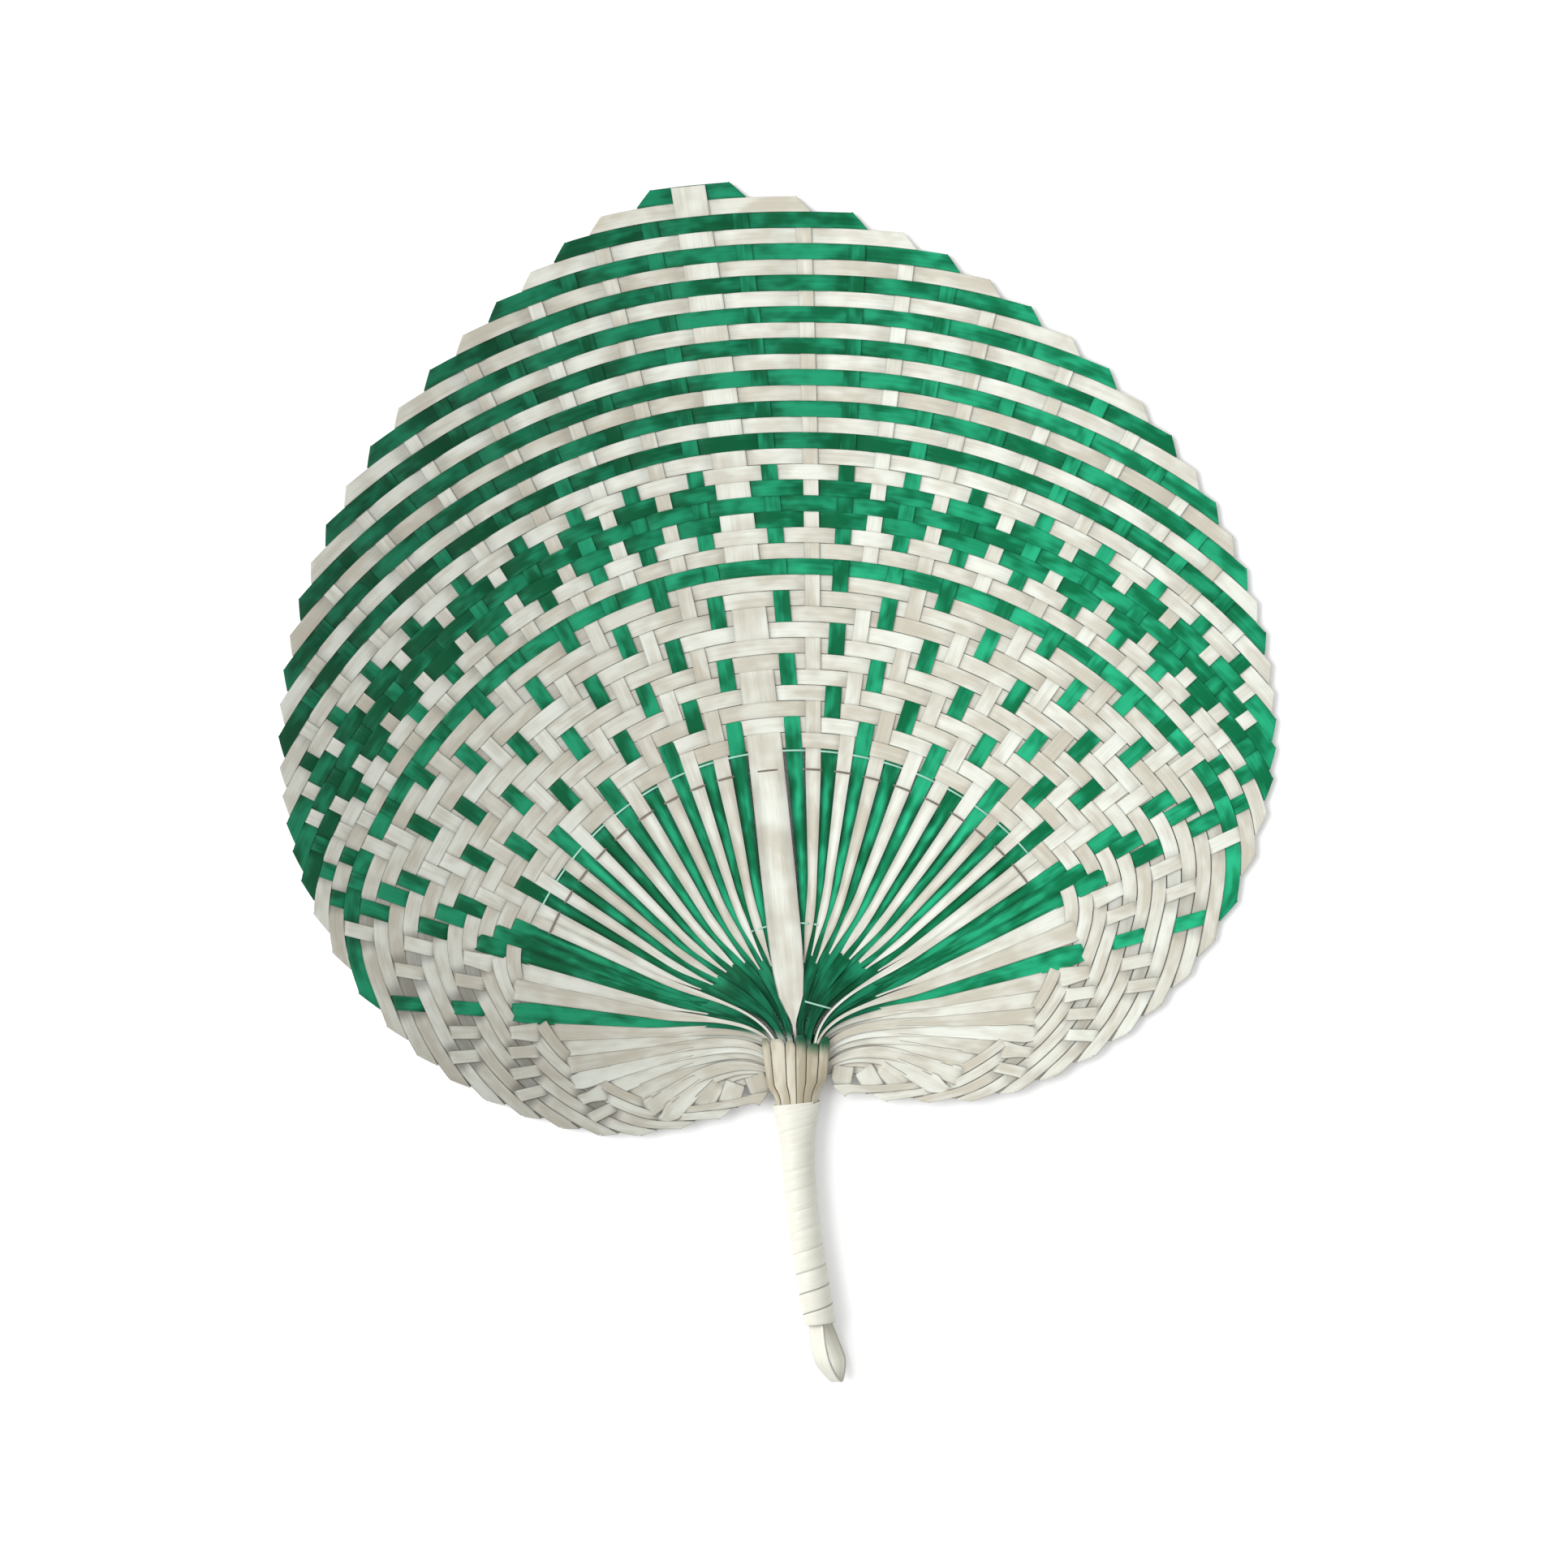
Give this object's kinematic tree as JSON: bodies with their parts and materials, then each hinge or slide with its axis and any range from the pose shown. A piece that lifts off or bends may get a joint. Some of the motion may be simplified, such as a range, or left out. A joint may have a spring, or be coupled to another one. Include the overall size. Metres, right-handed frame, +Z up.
{
  "type": "hand fan",
  "caption": "Heart-shaped hand fan woven from natural and green-dyed bamboo strips that fold over at the rim, gathered into a bound handle with a hanging loop.",
  "frame": {"origin": "On the table, under the middle of the fan's outline as it lies on its back.", "axes": "X across the blade, Y from the handle to the tip, Z up, out of the front face."},
  "size_m": [0.3314, 0.3998, 0.0121],
  "materials": {
    "green_strip": "green-dyed split bamboo, satin",
    "natural_strip": "undyed split bamboo, satin",
    "neck_slat": "undyed split bamboo, satin",
    "grip_core": "plain bamboo stick",
    "grip_binding": "scraped bamboo skin, smooth",
    "hanging_loop": "scraped bamboo skin, smooth"
  },
  "bodies": {
    "root": {"central_rib": "natural_strip", "green_strip_01": "green_strip", "green_strip_03": "green_strip", "green_strip_05": "green_strip", "green_strip_07": "green_strip", "green_strip_09": "green_strip", "green_strip_11": "green_strip", "green_strip_13": "green_strip", "green_strip_15": "green_strip", "green_strip_17": "green_strip", "green_strip_20": "green_strip", "green_strip_21": "green_strip", "green_strip_22": "green_strip", "green_strip_25": "green_strip", "grip_binding": "grip_binding", "grip_core": "grip_core", "hanging_loop": "hanging_loop", "natural_strip_02": "natural_strip", "natural_strip_04": "natural_strip", "natural_strip_06": "natural_strip", "natural_strip_08": "natural_strip", "natural_strip_10": "natural_strip", "natural_strip_12": "natural_strip", "natural_strip_14": "natural_strip", "natural_strip_16": "natural_strip", "natural_strip_18": "natural_strip", "natural_strip_19": "natural_strip", "natural_strip_23": "natural_strip", "natural_strip_24": "natural_strip", "natural_strip_26": "natural_strip", "natural_strip_27": "natural_strip", "natural_strip_28": "natural_strip", "natural_strip_29": "natural_strip", "natural_strip_30": "natural_strip", "natural_strip_31": "natural_strip", "natural_strip_32": "natural_strip", "natural_strip_33": "natural_strip", "natural_strip_34": "natural_strip", "natural_strip_35": "natural_strip", "natural_strip_36": "natural_strip", "neck_slat_back_1": "neck_slat", "neck_slat_back_2": "neck_slat", "neck_slat_back_3": "neck_slat", "neck_slat_back_4": "neck_slat", "neck_slat_back_5": "neck_slat", "neck_slat_front_1": "neck_slat", "neck_slat_front_2": "neck_slat", "neck_slat_front_3": "neck_slat", "neck_slat_front_4": "neck_slat", "neck_slat_front_5": "neck_slat", "neck_slat_front_6": "neck_slat"}
  },
  "joints": []
}
